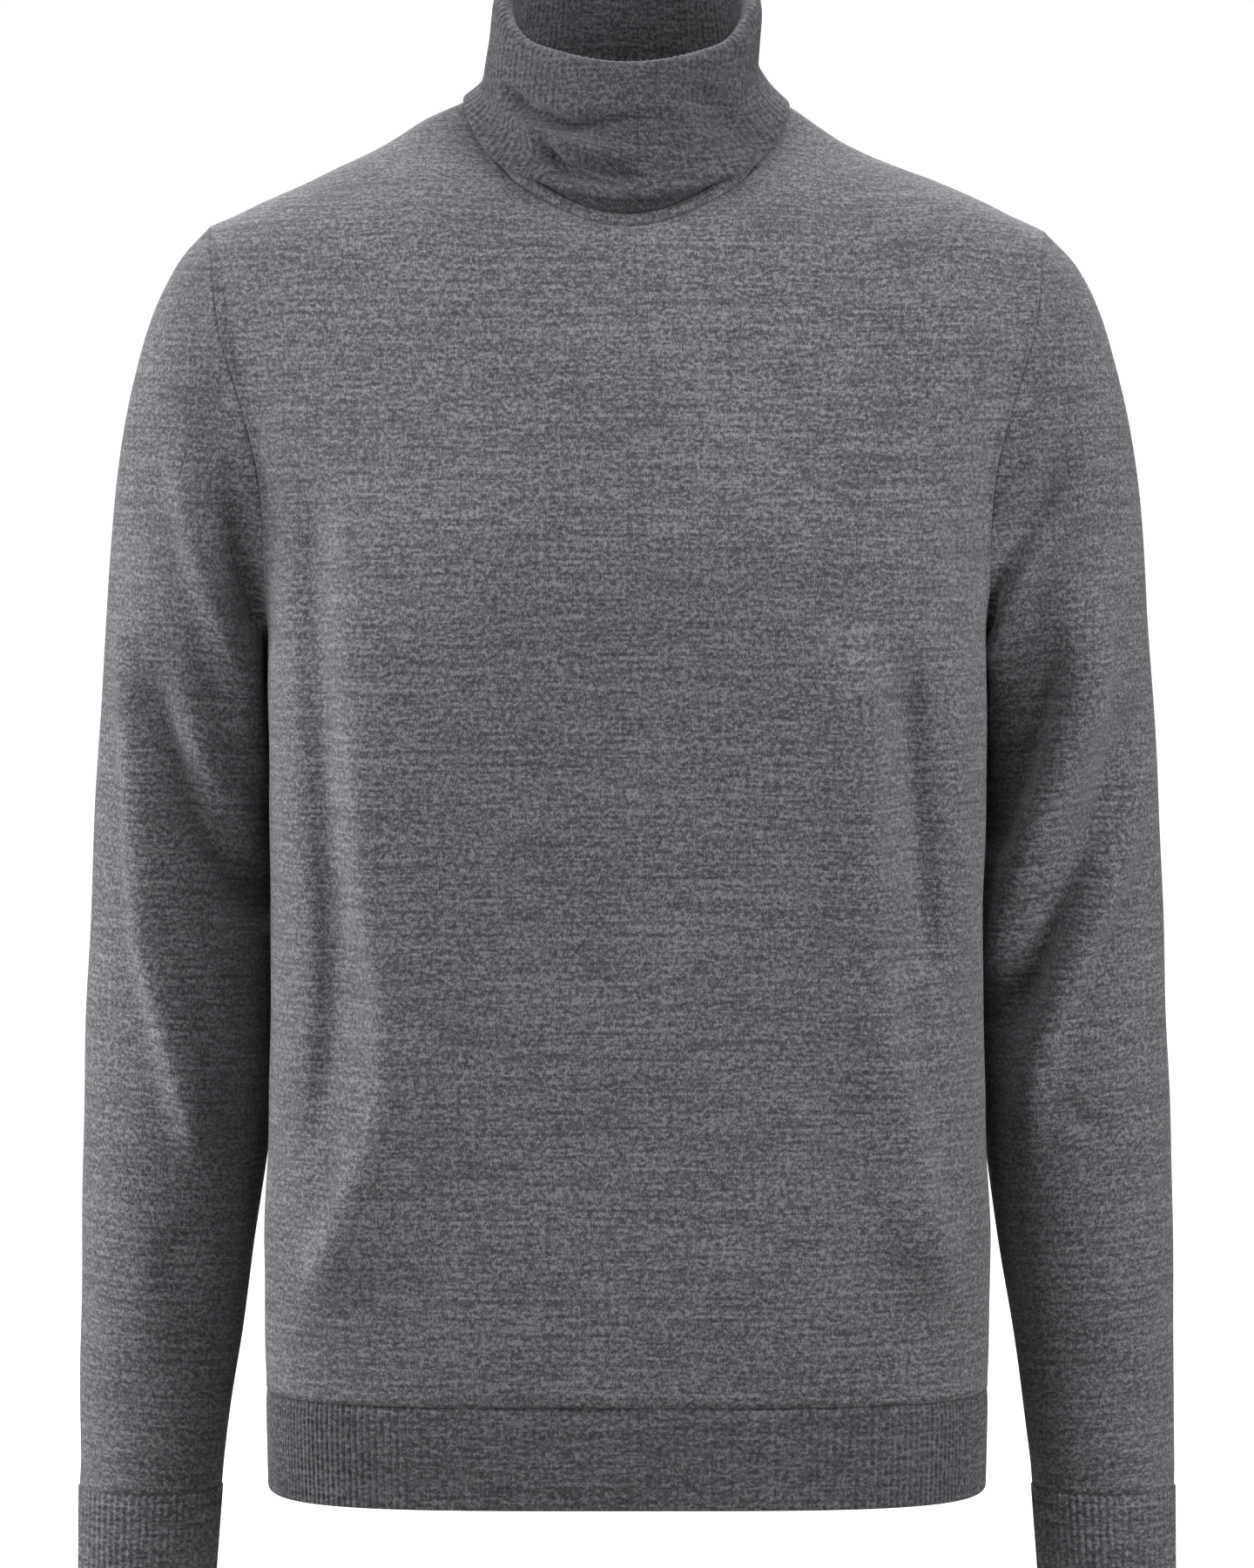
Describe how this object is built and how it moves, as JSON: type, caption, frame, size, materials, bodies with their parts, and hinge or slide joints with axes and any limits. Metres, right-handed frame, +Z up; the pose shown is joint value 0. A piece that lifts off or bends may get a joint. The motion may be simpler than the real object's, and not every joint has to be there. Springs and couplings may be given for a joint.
{
  "type": "turtleneck sweater",
  "caption": "Fine-knit roll-neck sweater with long set-in sleeves and ribbed collar, cuffs and hem, hollow and filled out as if worn, open at neck, hem and wrists.",
  "frame": {"origin": "middle of the neck's base, level with the inner ends of the shoulder seams", "axes": "+Z up along the body, -Y the wearer's front, +X the wearer's left"},
  "size_m": [0.5454, 0.238, 0.8309],
  "materials": {
    "jersey": "mid-grey melange fine-gauge plain knit, matt",
    "rib": "darker grey melange rib knit, matt"
  },
  "bodies": {
    "root": {"front_panel": "jersey", "back_panel": "jersey", "hem_rib_front": "rib", "hem_rib_back": "rib", "left_sleeve": "jersey", "right_sleeve": "jersey", "left_cuff": "rib", "right_cuff": "rib", "neck_band": "jersey", "roll_neck": "rib"}
  },
  "joints": []
}
